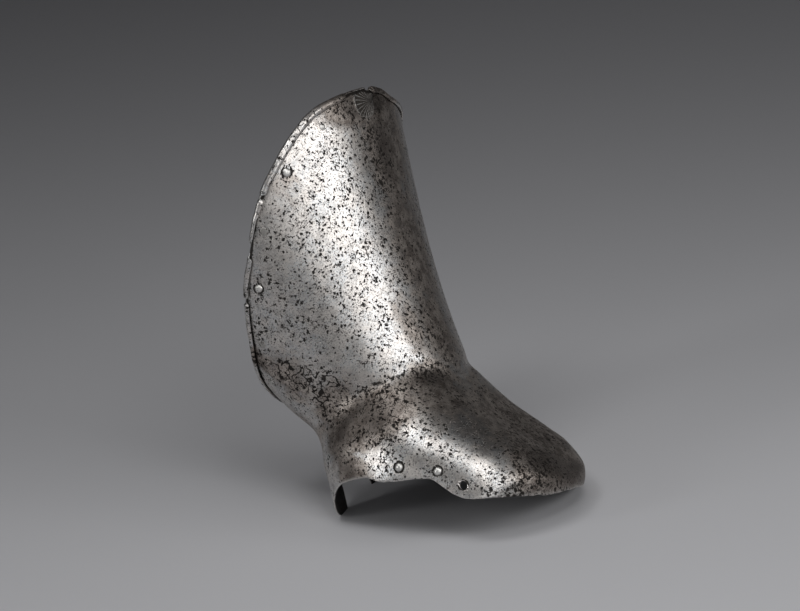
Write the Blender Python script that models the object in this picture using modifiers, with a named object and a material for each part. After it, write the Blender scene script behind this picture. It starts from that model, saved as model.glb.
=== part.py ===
"""A left gauntlet of thin sheet steel: flared cuff, waisted wrist and a plate over the hand.

The sleeve is modelled upright in its own axes, in millimetres, and then stood on a flat surface as it
rests by itself, on the two corners of its palm opening and the far corner of its knuckle edge.

Sleeve axes: X to the back of the hand, -Y to the thumb side, Z along the arm towards the elbow.
Angles round the sleeve are in degrees: 0 palm, 90 thumb side, 180 back of the hand, 270 little finger.
World: metres, +Z up, origin under the middle of the bounding box, on the surface it stands on.
"""

import math

import bmesh
import bpy
import numpy as np
from mathutils import Matrix, Vector

MM = 0.001

# Sheet
SHEET = 1.1
ROLL_SHEET = 0.7
ROLL_RADIUS = 0.8
ROLL_TURN = 258.0
ROLL_ROWS = 5

# Stance
LEAN = 31.8
TILT = 14.5
STANDING = 40.4
FOOT_FLAT = 0.4
# The feet are somewhere between these distances along the sleeve.
FOOT_SEARCH = (-80.0, -10.0)
FOOT_SEARCH_STEPS = 40

# Rivets
HEAD_RADIUS = 1.85
HEAD_HEIGHT = 0.95
SHANK_RADIUS = 0.8
PEEN_RADIUS = 1.3
PEEN_HEIGHT = 0.5
GAP = 0.3
RIVET_STEPS = 12

# Mesh density
HAND_ROWS = 8
CUFF_ROWS = 11
COLUMN_SPANS = [
    # first angle, last angle, columns
    (12.0, 80.0, 11),
    (80.0, 118.0, 16),
    (118.0, 180.0, 9),
    (180.0, 348.0, 25),
]

# Cross sections, each a pair of half super-ellipses that share their widest line.
# rise: distance above the crease. half_width: to the widest line. back, palm: reach of the two faces.
# middle: where the widest line lies. back_power, palm_power: 2 is an ellipse and more is squarer.
SECTION_COLUMNS = ("rise", "half_width", "back", "palm", "middle", "back_power", "palm_power")
CUFF_SECTIONS = [
    (0.0, 37.0, 34.0, -30.0, 0.0, 2.15, 2.5),
    (30.0, 45.0, 37.0, -41.0, -2.0, 2.1, 2.35),
    (60.0, 54.5, 42.0, -50.0, -3.0, 2.1, 2.15),
    (90.0, 63.0, 49.0, -59.0, -3.0, 2.1, 2.1),
    (125.0, 69.0, 60.0, -65.0, -2.0, 2.1, 2.1),
]
HAND_SECTIONS = [
    (-85.0, 48.5, 42.0, -42.0, 10.0, 2.5, 2.4),
    (-72.0, 47.0, 47.5, -42.0, 8.5, 2.5, 2.4),
    (-58.0, 47.0, 57.0, -42.0, 7.0, 2.5, 2.4),
    (-48.0, 47.0, 55.0, -40.0, 5.5, 2.5, 2.5),
    (-40.0, 47.0, 51.0, -38.5, 4.5, 2.4, 2.6),
    (-20.0, 43.5, 40.0, -33.5, 2.0, 2.3, 2.6),
    (0.0, 37.0, 34.0, -30.0, 0.0, 2.15, 2.5),
]
CREASE_BLEND = 6.0

# Lines along the sleeve, as pairs of angle and distance along. The crease at the wrist and the rim of the
# cuff are the same on both sides, and the knuckle edge isn't.
CREASE = [(0.0, -5.5), (45.0, 1.0), (90.0, 4.0), (135.0, 2.0), (180.0, -7.5)]
RIM = [(0.0, 18.0), (30.0, 27.0), (60.0, 41.0), (90.0, 68.0), (120.0, 95.5), (150.0, 113.0), (180.0, 116.0)]
# The thumb and knuckle edge, as pairs of angle and distance along.
KNUCKLE_EDGE = [
    (42.0, -29.0),
    (64.0, -25.5),
    (83.0, -28.5),
    (91.0, -35.5),
    (101.0, -40.0),
    (105.0, -42.5),
    (109.5, -52.5),
    (114.0, -56.5),
    (127.0, -60.5),
    (145.0, -64.5),
    (165.0, -68.5),
    (180.0, -69.5),
]
# The rest of that edge, as pairs of angle and height above the surface. At 0 is a foot.
PALM_FOOT = [(12.0, 0.0), (24.0, 1.0)]
FAR_EDGE = [
    (200.0, 5.5),
    (220.0, 1.0),
    (235.0, 0.0),
    (245.0, 1.0),
    (255.0, 3.0),
    (270.0, 4.5),
    (285.0, 4.5),
    (300.0, 3.0),
    (315.0, 1.5),
    (330.0, 0.5),
    (340.0, 0.0),
    (348.0, 0.0),
]

# Damage to the roll of the rim on the thumb side, as first angle, last angle and turn: between the two
# angles the sheet keeps only that part of its turn.
ROLL_DAMAGE = [(78.5, 80.5, 60.0), (94.0, 98.0, 45.0), (111.5, 113.0, 110.0)]

# Rivets and the rust hole, by angle and distance along the sleeve. The cuff's rivets are the same on both
# sides.
CUFF_RIVETS = [(50.0, 27.0), (69.5, 40.5), (88.5, 59.5), (106.0, 77.5), (127.0, 94.5), (148.0, 106.0)]
THUMB_RIVETS = [(97.5, -32.0), (110.5, -41.0)]
RUST_HOLE = {"angle": 116.0, "along": -51.0, "half_width": 1.5, "half_length": 2.0}


def clear_scene():
    for obj in list(bpy.data.objects):
        bpy.data.objects.remove(obj, do_unlink=True)


def collection_named(name):
    found = bpy.data.collections.new(name)
    bpy.context.scene.collection.children.link(found)
    return found


def steel(name, colour, roughness):
    material = bpy.data.materials.new(name)
    material.use_nodes = True
    shader = material.node_tree.nodes["Principled BSDF"]
    shader.inputs["Base Color"].default_value = (*colour, 1.0)
    shader.inputs["Roughness"].default_value = roughness
    shader.inputs["Metallic"].default_value = 1.0
    return material


def smooth_line(rows, column=1, flat_end=False):
    """A function that runs through the rows as a monotone cubic, and straight on beyond both ends."""
    xs = np.array([row[0] for row in rows])
    ys = np.array([row[column] for row in rows])
    steps = np.diff(xs)
    slopes = np.diff(ys) / steps
    tangents = np.zeros(len(xs))
    tangents[0] = slopes[0]
    tangents[-1] = 0.0 if flat_end else slopes[-1]
    for i in range(1, len(xs) - 1):
        if slopes[i - 1] * slopes[i] > 0:
            before = 2 * steps[i] + steps[i - 1]
            after = steps[i] + 2 * steps[i - 1]
            tangents[i] = (before + after) / (before / slopes[i - 1] + after / slopes[i])

    def value(x):
        i = min(max(int(np.searchsorted(xs, x)) - 1, 0), len(steps) - 1)
        u = min(max((x - xs[i]) / steps[i], 0.0), 1.0)
        inside = (
            ys[i] * (1 + 2 * u) * (1 - u) ** 2
            + tangents[i] * steps[i] * u * (1 - u) ** 2
            + ys[i + 1] * u * u * (3 - 2 * u)
            + tangents[i + 1] * steps[i] * u * u * (u - 1)
        )
        return inside + tangents[0] * min(x - xs[0], 0.0) + tangents[-1] * max(x - xs[-1], 0.0)

    return value


cuff_lines = {name: smooth_line(CUFF_SECTIONS, k) for k, name in enumerate(SECTION_COLUMNS) if k}
hand_lines = {name: smooth_line(HAND_SECTIONS, k) for k, name in enumerate(SECTION_COLUMNS) if k}
crease_line = smooth_line(CREASE)
rim_line = smooth_line(RIM, flat_end=True)


def mirrored(angle):
    """The angle on the thumb side that matches it."""
    return abs((angle + 180.0) % 360.0 - 180.0)


def crease_at(angle):
    return crease_line(mirrored(angle))


def rim_at(angle):
    return rim_line(mirrored(angle))


def section_at(rise):
    """The cross section at a distance above the crease: cuff and hand sections blend across it."""
    t = min(max((rise + CREASE_BLEND) / (2 * CREASE_BLEND), 0.0), 1.0)
    cuff = t * t * (3 - 2 * t)
    return {
        name: cuff * cuff_lines[name](max(rise, -CREASE_BLEND))
        + (1 - cuff) * hand_lines[name](min(rise, CREASE_BLEND))
        for name in cuff_lines
    }


def sheet_point(angle, along):
    """A point in the middle of the sheet's thickness, in sleeve axes and millimetres."""
    section = section_at(along - crease_at(angle))
    sine = math.sin(math.radians(angle))
    cosine = math.cos(math.radians(angle))
    if cosine < 0:
        power = section["back_power"]
        reach = section["back"] - section["middle"]
    else:
        power = section["palm_power"]
        reach = section["palm"] - section["middle"]
    x = section["middle"] + reach * abs(cosine) ** (2 / power)
    y = -section["half_width"] * math.copysign(abs(sine) ** (2 / power), sine)
    return Vector((x, y, along))


def stance_turn():
    """Turns the sleeve's axes into the world's."""
    lean = Matrix.Rotation(math.radians(-LEAN), 4, "Y")
    tilt = Matrix.Rotation(math.radians(-TILT), 4, "X")
    return tilt @ lean


def along_at(angle, height):
    """How far along the sleeve this line of it comes down to this height above the surface.

    The sleeve's origin is STANDING above the surface. The search halves its range each time.
    """
    turn = stance_turn()
    low, high = FOOT_SEARCH
    for _ in range(FOOT_SEARCH_STEPS):
        middle = (low + high) / 2
        if (turn @ sheet_point(angle, middle)).z > height - STANDING:
            high = middle
        else:
            low = middle
    return low


def standing_rows(rows):
    return [(angle, along_at(angle, height)) for angle, height in rows]


hand_edge = smooth_line(standing_rows(PALM_FOOT) + KNUCKLE_EDGE + standing_rows(FAR_EDGE))


def sheet_normal(angle, along):
    """The sheet's outward normal."""
    round_it = sheet_point(angle + 0.2, along) - sheet_point(angle - 0.2, along)
    up_it = sheet_point(angle, along + 0.2) - sheet_point(angle, along - 0.2)
    return round_it.cross(up_it).normalized()


def sheet_matrix(angle, along):
    """Where a rivet or a hole sits: local Z is the sheet's outward normal and local Y runs up the arm."""
    normal = sheet_normal(angle, along)
    across = Vector((0, 0, 1)).cross(normal).normalized()
    up = normal.cross(across)
    turned = Matrix((across, up, normal)).transposed().to_4x4()
    return Matrix.Translation(sheet_point(angle, along) * MM) @ turned


def roll_turn(angle):
    """How far the rim is rolled over at this angle, in degrees."""
    for first, last, turn in ROLL_DAMAGE:
        if first <= angle <= last:
            return turn
    return ROLL_TURN


def roll_points(angle):
    """The rolled edge: an arc in the plane square to the rim, outwards and back down."""
    before, start, after = (sheet_point(a, rim_at(a)) for a in (angle - 0.5, angle, angle + 0.5))
    normal = sheet_normal(angle, rim_at(angle))
    up = normal.cross(after - before).normalized()
    centre = start + normal * ROLL_RADIUS
    turns = [math.radians(roll_turn(angle)) * (k + 1) / ROLL_ROWS for k in range(ROLL_ROWS)]
    return [centre + (up * math.sin(turn) - normal * math.cos(turn)) * ROLL_RADIUS for turn in turns]


def column_angles():
    angles = [COLUMN_SPANS[0][0]]
    for first, last, count in COLUMN_SPANS:
        angles += [first + (last - first) * (k + 1) / count for k in range(count)]
    return angles


def sheet_column(angle):
    """One line of the plate, from its hand edge to the end of the roll."""
    edge = hand_edge(angle)
    crease = crease_at(angle)
    rim = rim_at(angle)
    heights = [edge + (crease - edge) * k / HAND_ROWS for k in range(HAND_ROWS)]
    heights += [crease + (rim - crease) * k / CUFF_ROWS for k in range(CUFF_ROWS + 1)]
    return [sheet_point(angle, along) for along in heights] + roll_points(angle)


def make_plate(collection, material):
    """The whole sleeve is one sheet, bent round until its two free edges nearly meet on the palm side."""
    build = bmesh.new()
    columns = [[build.verts.new(co * MM) for co in sheet_column(angle)] for angle in column_angles()]
    for left, right in zip(columns, columns[1:]):
        for k in range(len(left) - 1):
            build.faces.new((left[k], right[k], right[k + 1], left[k + 1]))
    build.verts.index_update()
    flat_part = [vert.index for column in columns for vert in column[:-ROLL_ROWS]]
    mesh = bpy.data.meshes.new("plate")
    build.to_mesh(mesh)
    build.free()
    mesh.shade_smooth()
    mesh.set_sharp_from_angle(angle=math.radians(50))
    mesh.materials.append(material)
    plate = bpy.data.objects.new("plate", mesh)
    collection.objects.link(plate)
    plate.vertex_groups.new(name="full_thickness").add(flat_part, 1.0, "REPLACE")
    solid = plate.modifiers.new("sheet", "SOLIDIFY")
    solid.thickness = SHEET * MM
    solid.offset = 0.0
    solid.vertex_group = "full_thickness"
    solid.thickness_vertex_group = ROLL_SHEET / SHEET
    return plate


def rivet_places():
    """Every rivet's name, angle and distance along the sleeve."""
    round_the_rim = CUFF_RIVETS + [(360.0 - angle, along) for angle, along in reversed(CUFF_RIVETS)]
    places = [(f"cuff_rivet_{k + 1}", *place) for k, place in enumerate(round_the_rim)]
    return places + [(f"thumb_rivet_{k + 1}", *place) for k, place in enumerate(THUMB_RIVETS)]


def rivet_mesh(material):
    """A low domed head outside, a shank through the sheet and a peened end inside."""
    under_head = SHEET / 2 + GAP
    turns = [math.radians(turn) for turn in (0, 32, 62, 90)]
    head = [(HEAD_RADIUS * math.sin(turn), under_head + HEAD_HEIGHT * math.cos(turn)) for turn in turns]
    tail = [
        (SHANK_RADIUS, under_head),
        (SHANK_RADIUS, -under_head),
        (PEEN_RADIUS, -under_head),
        (PEEN_RADIUS * 0.7, -under_head - PEEN_HEIGHT),
        (0.0, -under_head - PEEN_HEIGHT),
    ]
    build = bmesh.new()
    profile = [build.verts.new(Vector((x, 0.0, z)) * MM) for x, z in head + tail]
    edges = [build.edges.new(pair) for pair in zip(profile, profile[1:])]
    bmesh.ops.spin(
        build,
        geom=profile + edges,
        cent=(0, 0, 0),
        axis=(0, 0, 1),
        angle=math.tau,
        steps=RIVET_STEPS,
        use_merge=True,
    )
    bmesh.ops.remove_doubles(build, verts=build.verts, dist=1e-6)
    bmesh.ops.recalc_face_normals(build, faces=build.faces)
    mesh = bpy.data.meshes.new("rivet")
    build.to_mesh(mesh)
    build.free()
    mesh.shade_smooth()
    mesh.set_sharp_from_angle(angle=math.radians(50))
    mesh.materials.append(material)
    return mesh


def make_rivets(collection, material):
    mesh = rivet_mesh(material)
    rivets = []
    for name, angle, along in rivet_places():
        rivet = bpy.data.objects.new(name, mesh)
        rivet.matrix_basis = sheet_matrix(angle, along)
        collection.objects.link(rivet)
        rivets.append(rivet)
    return rivets


def make_hole_cutter(collection):
    """One cylinder through the sheet for each rivet shank, and an oval one for the rust hole."""
    build = bmesh.new()
    radius = (SHANK_RADIUS + GAP) * MM
    places = [sheet_matrix(angle, along) for _, angle, along in rivet_places()]
    stretch = Matrix.Diagonal((RUST_HOLE["half_width"], RUST_HOLE["half_length"], 1.0, 1.0))
    rust = sheet_matrix(RUST_HOLE["angle"], RUST_HOLE["along"]) @ stretch
    for matrix, size in [(place, radius) for place in places] + [(rust, MM)]:
        bmesh.ops.create_cone(
            build,
            cap_ends=True,
            segments=RIVET_STEPS,
            radius1=size,
            radius2=size,
            depth=6 * SHEET * MM,
            matrix=matrix,
        )
    return cutter_from(build, "hole_cutter", collection)


def make_floor_cutter(collection):
    """A slab below the surface that the gauntlet stands on."""
    depth = 10 * FOOT_FLAT * MM
    build = bmesh.new()
    place = Matrix.Translation((0, 0, -depth / 2)) @ Matrix.Diagonal((0.4, 0.4, depth, 1.0))
    bmesh.ops.create_cube(build, size=1.0, matrix=place)
    return cutter_from(build, "floor_cutter", collection)


def cutter_from(build, name, collection):
    mesh = bpy.data.meshes.new(name)
    build.to_mesh(mesh)
    build.free()
    cutter = bpy.data.objects.new(name, mesh)
    cutter.hide_render = True
    cutter.display_type = "WIRE"
    collection.objects.link(cutter)
    return cutter


def cut(target, cutter):
    boolean = target.modifiers.new(cutter.name, "BOOLEAN")
    boolean.operation = "DIFFERENCE"
    boolean.solver = "EXACT"
    boolean.object = cutter


def box_of(objects):
    """The lowest and highest corners of the objects, as they stand."""
    graph = bpy.context.evaluated_depsgraph_get()
    points = []
    for obj in objects:
        shown = obj.evaluated_get(graph)
        mesh = shown.to_mesh()
        points += [shown.matrix_world @ vert.co for vert in mesh.vertices]
        shown.to_mesh_clear()
    return np.min(points, axis=0), np.max(points, axis=0)


def stand_up(collection, pieces):
    """Tips the sleeve into its resting stance, with its feet a little below the surface."""
    stance = bpy.data.objects.new("stance", None)
    collection.objects.link(stance)
    stance.matrix_basis = stance_turn()
    for piece in pieces:
        piece.parent = stance
    bpy.context.view_layer.update()
    low, high = box_of(piece for piece in pieces if not piece.hide_render)
    middle = (low + high) / 2
    stance.location = (-middle[0], -middle[1], -low[2] - FOOT_FLAT * MM)


def main():
    clear_scene()
    gauntlet = collection_named("gauntlet")
    cutters = collection_named("cutters")
    plate_steel = steel("plate_steel", (0.32, 0.29, 0.26), 0.42)
    rivet_steel = steel("rivet_steel", (0.22, 0.20, 0.18), 0.5)
    plate = make_plate(gauntlet, plate_steel)
    rivets = make_rivets(gauntlet, rivet_steel)
    holes = make_hole_cutter(cutters)
    stand_up(gauntlet, [plate, *rivets, holes])
    cut(plate, holes)
    cut(plate, make_floor_cutter(cutters))
    bpy.context.view_layer.update()


main()
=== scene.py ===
"""The looks of a left gauntlet of old sheet steel: worn bright, pitted, brown at the wrist.

The sleeve's own axes are in millimetres: X to the back of the hand, -Y to the thumb side, Z up the
arm. Angles round it are in degrees: 0 palm, 90 thumb side, 180 back of the hand, 270 little finger
side. Distances along it are from the wrist, and are below 0 on the hand.
"""

import math

import bmesh
import bpy
import numpy as np
from mathutils import Matrix, Vector, noise


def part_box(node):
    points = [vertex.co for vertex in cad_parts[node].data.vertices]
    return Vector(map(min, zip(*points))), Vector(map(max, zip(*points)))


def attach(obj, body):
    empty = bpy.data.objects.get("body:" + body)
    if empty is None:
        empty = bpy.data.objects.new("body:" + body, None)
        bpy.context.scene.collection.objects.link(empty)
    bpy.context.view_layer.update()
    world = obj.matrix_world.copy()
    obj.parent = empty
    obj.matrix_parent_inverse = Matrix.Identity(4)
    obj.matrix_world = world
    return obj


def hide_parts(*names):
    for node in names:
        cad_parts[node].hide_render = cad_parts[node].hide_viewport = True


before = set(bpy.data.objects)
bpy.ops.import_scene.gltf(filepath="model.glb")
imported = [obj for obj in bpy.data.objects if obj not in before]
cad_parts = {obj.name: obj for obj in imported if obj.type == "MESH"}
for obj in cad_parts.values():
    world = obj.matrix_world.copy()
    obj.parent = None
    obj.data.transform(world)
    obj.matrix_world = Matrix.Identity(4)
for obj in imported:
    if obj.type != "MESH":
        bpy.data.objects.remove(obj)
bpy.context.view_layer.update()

MM = 0.001

# The sheet's thickness, the distance over which its worn edges are rounded, and to what share of it
SHEET = 1.1
EDGE_ROUND = 0.5
EDGE_THINNEST = 0.3
# The thickness in the rim's roll, the distance over which the sheet thins to it, and how many times
# longer the roll is along the sleeve than across. Its free edge is rounded over a shorter distance,
# by this many times.
ROLL_SHEET = 0.62
ROLL_THINNING = 3.0
ROLL_FLATNESS = 1.4
ROLL_EDGE_SHARPNESS = 1.6

# Stance: the sleeve's lean and its tilt to the far side, in degrees, and the height of the wrist's
# middle above the surface
LEAN = 31.8
TILT = 14.5
STANDING = 40.4
# Between these distances along the sleeve, a line of it is searched for a height above the surface.
FOOT_SEARCH = (-80.0, -10.0)
FOOT_SEARCH_STEPS = 40

# Grid of the sheet: rows on the hand and on the cuff, closer ones in a band below the rim, and rows
# round the roll
HAND_ROWS = 44
CUFF_ROWS = 62
RIM_BAND = 11.0
RIM_ROWS = 24
ROLL_ROWS = 14
# The seam's two free edges, and how far in from them and from the hand edge the first columns and
# rows are, which are close together for the edges' rounding
SEAM_ANGLES = (12.0, 348.0)
SEAM_MM_PER_DEGREE = 0.85
SEAM_STEPS = (0.0, 0.12, 0.35, 0.8)
EDGE_STEPS = (0.0, 0.12, 0.32, 0.7)
COLUMN_SPANS = [
    # first angle, last angle, step
    (12.8, 76.0, 1.6),
    (76.0, 118.0, 0.8),
    (118.0, 160.0, 1.4),
    (160.0, 183.0, 0.5),
    (183.0, 347.2, 2.0),
]
# A surface normal is taken over this far to either side, in degrees and in millimetres.
NORMAL_STEP = 0.2
# A distance from the hand edge that is as good as none
FAR_AWAY = 99.0

# Sections through the sleeve, by rise above the crease: its half width, where the back and the palm
# are, where it is widest, and how square the back's half and the palm's half are
SECTION_COLUMNS = ("rise", "half_width", "back", "palm", "middle", "back_power", "palm_power")
CUFF_SECTIONS = [
    (0.0, 37.0, 34.0, -30.0, 0.0, 2.15, 2.5),
    (30.0, 45.0, 37.0, -41.0, -2.0, 2.1, 2.35),
    (60.0, 54.5, 42.0, -50.0, -3.0, 2.1, 2.15),
    (90.0, 63.0, 49.0, -59.0, -3.0, 2.1, 2.1),
    (125.0, 69.0, 60.0, -65.0, -2.0, 2.1, 2.1),
]
HAND_SECTIONS = [
    (-85.0, 48.5, 42.0, -42.0, 10.0, 2.5, 2.4),
    (-72.0, 47.0, 47.5, -42.0, 8.5, 2.5, 2.4),
    (-58.0, 47.0, 57.0, -42.0, 7.0, 2.5, 2.4),
    (-48.0, 47.0, 55.0, -40.0, 5.5, 2.5, 2.5),
    (-40.0, 47.0, 51.0, -38.5, 4.5, 2.4, 2.6),
    (-20.0, 43.5, 40.0, -33.5, 2.0, 2.3, 2.6),
    (0.0, 37.0, 34.0, -30.0, 0.0, 2.15, 2.5),
]
# How far the crease at the wrist spreads above and below, by angle. It is softer on the palm side.
CREASE_BLEND = [(0.0, 16.0), (72.0, 16.0), (104.0, 6.0), (180.0, 6.0)]

# Lines round the sleeve, as pairs of angle and distance along. The crease and the rim are the same
# on both sides, and the knuckle edge isn't.
CREASE = [
    (0.0, -5.5),
    (45.0, 1.0),
    (90.0, 4.0),
    (135.0, 2.0),
    (180.0, -7.5),
]
RIM = [
    (0.0, 18.0),
    (30.0, 27.0),
    (60.0, 41.0),
    (90.0, 68.0),
    (120.0, 95.5),
    (150.0, 113.0),
    (180.0, 116.0),
]
KNUCKLE_EDGE = [
    (42.0, -29.0),
    (64.0, -25.5),
    (83.0, -28.5),
    (91.0, -35.5),
    (101.0, -40.0),
    (105.0, -42.5),
    (109.5, -52.5),
    (114.0, -56.5),
    (127.0, -60.5),
    (145.0, -64.5),
    (165.0, -68.5),
    (180.0, -69.5),
]
# The rest of that edge, as pairs of angle and height above the surface. At 0 is a foot.
PALM_FOOT = [(12.0, 0.0), (24.0, 1.0)]
FAR_EDGE = [
    (200.0, 5.5),
    (220.0, 1.0),
    (235.0, 0.0),
    (245.0, 1.0),
    (255.0, 3.0),
    (270.0, 4.5),
    (285.0, 4.5),
    (300.0, 3.0),
    (315.0, 1.5),
    (330.0, 0.5),
    (340.0, 0.0),
    (348.0, 0.0),
]

# The roll of the rim, with its breaks, flats and notch. turn: how far the sheet turns over
ROLL = [
    # angle, turn, radius of the turn
    (12.0, 235.0, 0.7),
    (30.0, 250.0, 0.7),
    (66.0, 245.0, 0.7),
    (78.4, 240.0, 0.75),
    (79.0, 70.0, 0.6),
    (80.2, 60.0, 0.5),
    (80.9, 245.0, 0.75),
    (93.2, 235.0, 0.75),
    (94.3, 60.0, 0.6),
    (97.6, 50.0, 0.5),
    (98.8, 185.0, 0.8),
    (106.2, 190.0, 0.85),
    (107.0, 225.0, 0.8),
    (111.8, 250.0, 0.8),
    (112.3, 110.0, 0.6),
    (113.0, 110.0, 0.6),
    (113.6, 255.0, 0.9),
    (130.0, 260.0, 1.05),
    (152.0, 262.0, 1.1),
    (160.0, 250.0, 0.95),
    (161.5, 130.0, 0.65),
    (171.8, 110.0, 0.5),
    (172.6, 60.0, 0.4),
    (174.2, 60.0, 0.4),
    (175.1, 250.0, 0.95),
    (180.0, 255.0, 0.7),
    (348.0, 235.0, 0.7),
]
ROLL_ANGLES, ROLL_TURNS, ROLL_RADII = zip(*ROLL)
# The notch at the tip of the rim
NOTCH = {"angle": 173.4, "width": 0.9, "depth": 1.2}
# Past the notch the rim is bent down: by how much, and the angles between which that comes on. It
# goes off again between the last two.
RIM_DROPS = [(0.9, 173.6, 174.6), (3.4, 175.0, 190.0)]
RIM_DROPS_END = (235.0, 200.0)

# Unevenness of each, as rows of feature size, height and seed
HAMMERING = [(26.0, 0.30, 1), (11.0, 0.10, 2), (5.0, 0.035, 8)]
EDGE_WAVES = [(5.0, 0.22, 3), (1.7, 0.16, 4)]
RIM_DENTS = [(9.0, 0.15, 6)]
ROLL_DENTS = [(4.0, 0.10, 7)]
RIVET_HAMMERING = [(1.1, 0.05, 9)]
# Every seed shifts the noise by this much again, and every rivet by RIVET_SHIFT as well.
SEED_SHIFT = (17.3, 5.1, 11.7)
RIVET_SHIFT = 7.0
# Nicks in the hand edge are bitten where this noise rises between its two levels.
NICK_SIZE = 3.1
NICK_SEED = 5
NICK_LEVELS = (0.35, 0.6)
NICK_DEPTH = 0.35

# Rivets. dome: height of the head. dirt: in a ring round it.
CUFF_RIVETS = [
    # angle, along, dome, radius, shine, dirt
    (50.0, 27.0, 0.5, 1.7, 0.3, 0.7),
    (69.5, 40.5, 0.12, 1.6, 0.0, 0.45),
    (88.5, 59.5, 0.85, 1.7, 0.9, 1.1),
    (106.0, 77.5, 0.12, 1.8, 0.0, 0.7),
    (127.0, 94.5, 0.75, 1.85, 1.0, 1.1),
    (148.0, 106.0, 0.3, 1.45, 0.5, 0.6),
]
THUMB_RIVETS = [
    (97.5, -32.0, 0.85, 1.75, 1.0, 1.2),
    (110.5, -41.0, 0.85, 1.7, 1.0, 1.2),
]
# How far the middle of a CAD rivet stands out from the middle of the sheet
CAD_RIVET_MIDDLE = 0.22
# A rivet's outline: its head, as shares of its radius and of its dome; how deep the head's rim is
# sunk in the outer face; its shank's radius; and its peened end, as radius and height from the
# inner face
RIVET_HEAD = [(0.0, 1.0), (0.3, 0.97), (0.6, 0.82), (0.84, 0.5), (0.97, 0.12)]
RIVET_SUNK = 0.12
RIVET_SHANK = 0.8
RIVET_END = [(RIVET_SHANK, 0.1), (1.35, 0.08), (1.2, -0.35), (0.6, -0.5), (0.0, -0.52)]
RIVET_SIDES = 32
# How oval a rivet is, and how five-lobed
RIVET_UNEVEN = (0.035, 0.02)
# Points closer than this are one, in metres.
SAME_POINT = 1e-6

# The hole rusted through near the knuckle edge: angle and distance along, half width and half
# height, how oval and how five-lobed its outline is, and which way the oval lies, in radians
RUST_HOLE = (116.0, -51.0)
RUST_HOLE_HALVES = (1.35, 1.95)
RUST_HOLE_UNEVEN = (0.10, 0.05)
RUST_HOLE_PHASE = 0.5
# Its cutter's sides and length, and its ring of dirt: radius and strength
RUST_HOLE_SIDES = 28
CUTTER_LENGTH = 8.0
RUST_HOLE_RING = (1.5, 1.4)

# The tip of the rim: a fan of small strokes in an oval, beside a bruised hollow, both by angle and
# distance along the sleeve, with their half width and half height. The strokes meet at the hub.
FAN = {"angle": 170.8, "along": 111.2, "width": 6.6, "height": 6.4}
FAN_HUB = {"angle": 173.8, "along": 110.9}
FAN_STROKES_IN_TURN = 30.0
HOLLOW = {"angle": 178.4, "along": 110.6, "width": 5.4, "height": 4.8}
TIP_MM_PER_DEGREE = 1.3
# Their depths, and where each ends as shares of its own radius. The fan has a raised outline.
FAN_DEPTH = 0.25
FAN_SLOPE = (0.82, 0.98)
FAN_OUTLINE_HEIGHT = 0.20
FAN_OUTLINE_WIDTH = 0.08
HOLLOW_DEPTH = 0.75
HOLLOW_SLOPE = (0.5, 1.05)
# How much of those marks shows on the inner face
MARKS_INSIDE = 0.6

# Blobs of finish. Sizes are in millimetres round the sleeve and along it.
TARNISH = [
    # angle, along, size round, size along, strength
    (180.0, 95.0, 18.0, 30.0, 1.0),
    (176.0, 92.0, 8.0, 26.0, 1.6),
    (58.0, 37.0, 7.0, 14.0, 1.1),
    (68.0, 24.0, 17.0, 17.0, 0.9),
    (178.0, 50.0, 16.0, 40.0, 1.0),
    (174.0, 15.0, 15.0, 26.0, 1.0),
    (170.0, 111.0, 18.0, 9.0, 2.0),
    (97.0, -3.0, 34.0, 9.0, 1.2),
    (98.0, -8.0, 27.0, 10.0, 2.2),
    (124.0, 90.0, 10.0, 14.0, 0.55),
    (154.0, 19.0, 11.0, 19.0, 0.85),
    (75.0, 4.0, 16.0, 9.0, 1.0),
    (85.0, 8.0, 20.0, 10.0, 0.9),
    (150.0, -4.0, 20.0, 9.0, 1.5),
    (76.0, -26.0, 9.0, 13.0, 1.6),
    (74.0, -10.0, 14.0, 14.0, 1.0),
    (150.0, -14.0, 26.0, 15.0, 1.0),
    (185.0, -36.0, 40.0, 34.0, 1.1),
    (168.0, -58.0, 22.0, 16.0, 1.8),
    (185.0, -66.0, 24.0, 12.0, 1.9),
    (225.0, 40.0, 30.0, 50.0, 0.8),
    (300.0, 0.0, 40.0, 40.0, 0.8),
    (30.0, 0.0, 20.0, 30.0, 0.8),
    (85.0, 34.0, 18.0, 20.0, 0.25),
]
WORMS = [
    (69.0, 28.0, 9.0, 7.0, 1.1),
    (80.0, 20.0, 9.0, 7.0, 1.1),
    (77.0, 11.0, 8.0, 8.0, 1.0),
    (90.0, 14.0, 6.0, 6.0, 0.9),
]
PITTING = [
    (150.0, 60.0, 26.0, 60.0, 0.55),
    (166.0, 20.0, 14.0, 50.0, 1.0),
    (171.0, 90.0, 9.0, 35.0, 1.5),
    (60.0, 36.0, 9.0, 18.0, 1.0),
    (95.0, 45.0, 34.0, 40.0, 0.8),
    (80.0, 12.0, 22.0, 16.0, 1.0),
    (168.0, 110.0, 12.0, 7.0, 1.2),
    (112.0, -26.0, 24.0, 12.0, 0.8),
    (160.0, -52.0, 21.0, 18.0, 1.7),
    (140.0, -62.0, 30.0, 7.0, 1.4),
    (110.0, -3.0, 20.0, 7.0, 1.2),
    (148.0, -1.0, 24.0, 8.0, 1.5),
    (100.0, -16.0, 20.0, 10.0, 1.1),
    (160.0, -20.0, 30.0, 20.0, 0.9),
    (190.0, -35.0, 26.0, 24.0, 0.7),
    (230.0, 60.0, 40.0, 50.0, 0.7),
    (290.0, -5.0, 30.0, 24.0, 0.7),
]
# The sizes round the sleeve are as on a sleeve of this radius.
BLOB_RADIUS = 50.0

# Grime and painted shade in the crease, by angle on either side: where it comes on, and where it
# thins and how far. A line of tarnish and painted shade runs below it.
CREASE_GRIME_AND_SHADE_WIDTH = 2.0
CREASE_GRIME_AND_SHADE_FROM = (80.0, 100.0)
CREASE_GRIME_AND_SHADE_THINS = (124.0, 140.0)
CREASE_GRIME_AND_SHADE_THINNED = 0.45
CREASE_TARNISH_AND_SHADE = {"above": -2.5, "width": 4.0, "strength": 0.75}
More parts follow.
